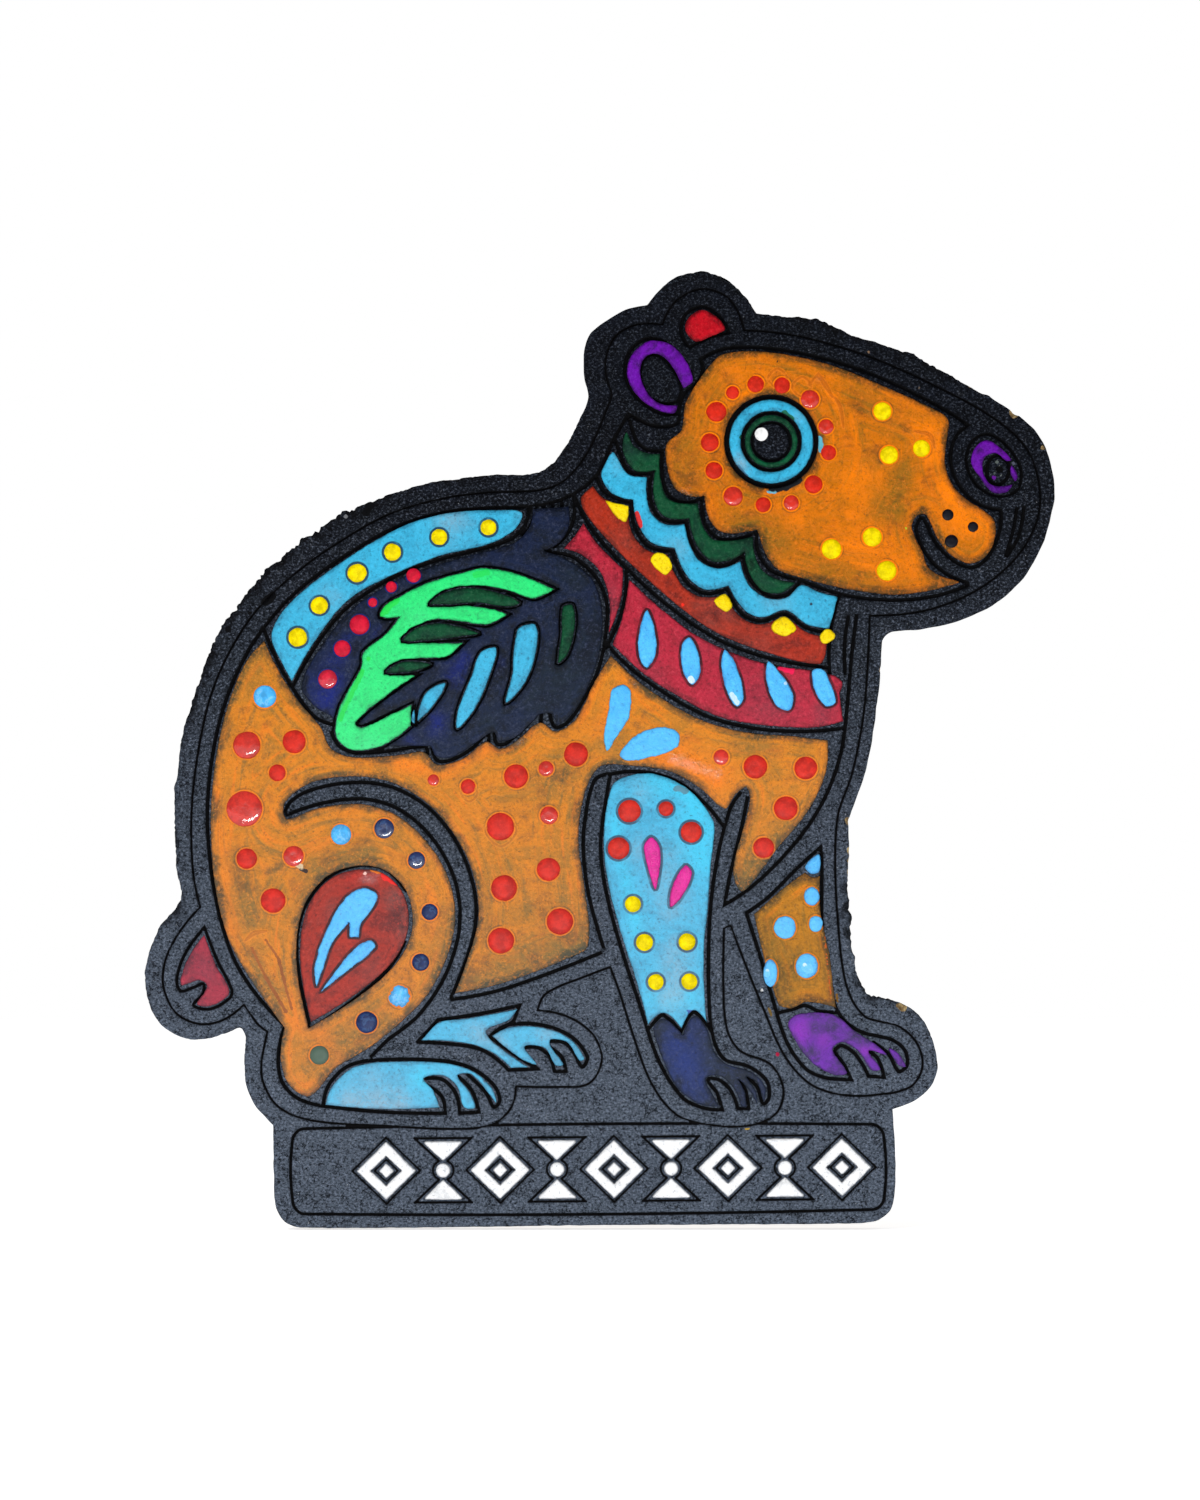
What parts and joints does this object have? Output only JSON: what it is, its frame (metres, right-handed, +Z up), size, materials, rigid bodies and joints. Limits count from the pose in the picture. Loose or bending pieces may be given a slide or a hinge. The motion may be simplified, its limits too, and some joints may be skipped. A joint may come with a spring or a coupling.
{
  "type": "painted fridge magnet",
  "caption": "Flat cut-out magnet of a seated spotted cat on a plinth: engraved fibre board, hand-painted fields and raised paint dots, with a disc magnet on the back.",
  "frame": {"origin": "centre of the magnet's free face, the face that meets the steel door", "axes": "+Z up the standing animal, +Y out of the magnet's free face into the door, +X the way the animal looks; the painted face looks along -Y"},
  "size_m": [0.076, 0.0068, 0.0799],
  "materials": {
    "fibre_board": "black-faced fibre board, matte, with burnt engraved lines and bare tan fibre at the edge",
    "ferrite": "sintered ferrite, matte dark grey",
    "glue": "clear yellowish adhesive, glossy",
    "paint_orange": "hand-brushed acrylic paint, satin",
    "paint_sky_blue": "hand-brushed acrylic paint, satin",
    "paint_azure": "thick drops of acrylic paint, glossy",
    "paint_navy": "hand-brushed acrylic paint, satin",
    "paint_dark_green": "hand-brushed acrylic paint, satin",
    "paint_bright_green": "hand-brushed acrylic paint, satin",
    "paint_crimson": "hand-brushed acrylic paint, satin",
    "paint_brick": "hand-brushed acrylic paint, satin",
    "paint_red": "thick drops of acrylic paint, glossy",
    "paint_yellow": "thick drops of acrylic paint, glossy",
    "paint_purple": "hand-brushed acrylic paint, satin",
    "paint_magenta": "thick drops of acrylic paint, glossy",
    "paint_black": "thick drops of acrylic paint, glossy",
    "paint_white": "raised white printed relief, satin"
  },
  "bodies": {
    "root": {"board": "fibre_board", "magnet_disc": "ferrite", "magnet_glue": "glue", "far_ear_red": "paint_crimson", "near_ear_purple": "paint_purple", "head_orange": "paint_orange", "eye_ring_blue": "paint_sky_blue", "eye_ring_green": "paint_dark_green", "eye_glint_white": "paint_white", "eye_dots_red": "paint_red", "face_dots_yellow": "paint_yellow", "muzzle_dots_black": "paint_black", "nostril_purple": "paint_purple", "scallops_green": "paint_dark_green", "scallops_blue": "paint_sky_blue", "collar_band_red": "paint_brick", "collar_dots_yellow": "paint_yellow", "collar_crimson": "paint_crimson", "collar_drops_blue": "paint_azure", "nape_wedge_crimson": "paint_crimson", "saddle_band_blue": "paint_sky_blue", "saddle_dots_yellow": "paint_yellow", "saddle_navy": "paint_navy", "saddle_dots_red": "paint_red", "leaf_green": "paint_bright_green", "leaf_veins_green": "paint_dark_green", "leaf_strips_blue": "paint_sky_blue", "body_orange": "paint_orange", "body_dots_red": "paint_red", "body_dots_blue": "paint_azure", "haunch_dots_navy": "paint_navy", "shoulder_strokes_blue": "paint_azure", "haunch_leaf_red": "paint_brick", "haunch_leaf_strokes_blue": "paint_azure", "tail_crimson": "paint_crimson", "hind_paw_near_blue": "paint_sky_blue", "hind_paw_far_blue": "paint_sky_blue", "foreleg_near_blue": "paint_sky_blue", "foreleg_near_dots_red": "paint_red", "foreleg_near_drops_magenta": "paint_magenta", "foreleg_near_dots_yellow": "paint_yellow", "paw_near_navy": "paint_navy", "foreleg_far_orange": "paint_orange", "foreleg_far_dots_blue": "paint_azure", "foreleg_far_tip_blue": "paint_azure", "paw_far_purple": "paint_purple", "plinth_frieze_white": "paint_white"}
  },
  "joints": []
}
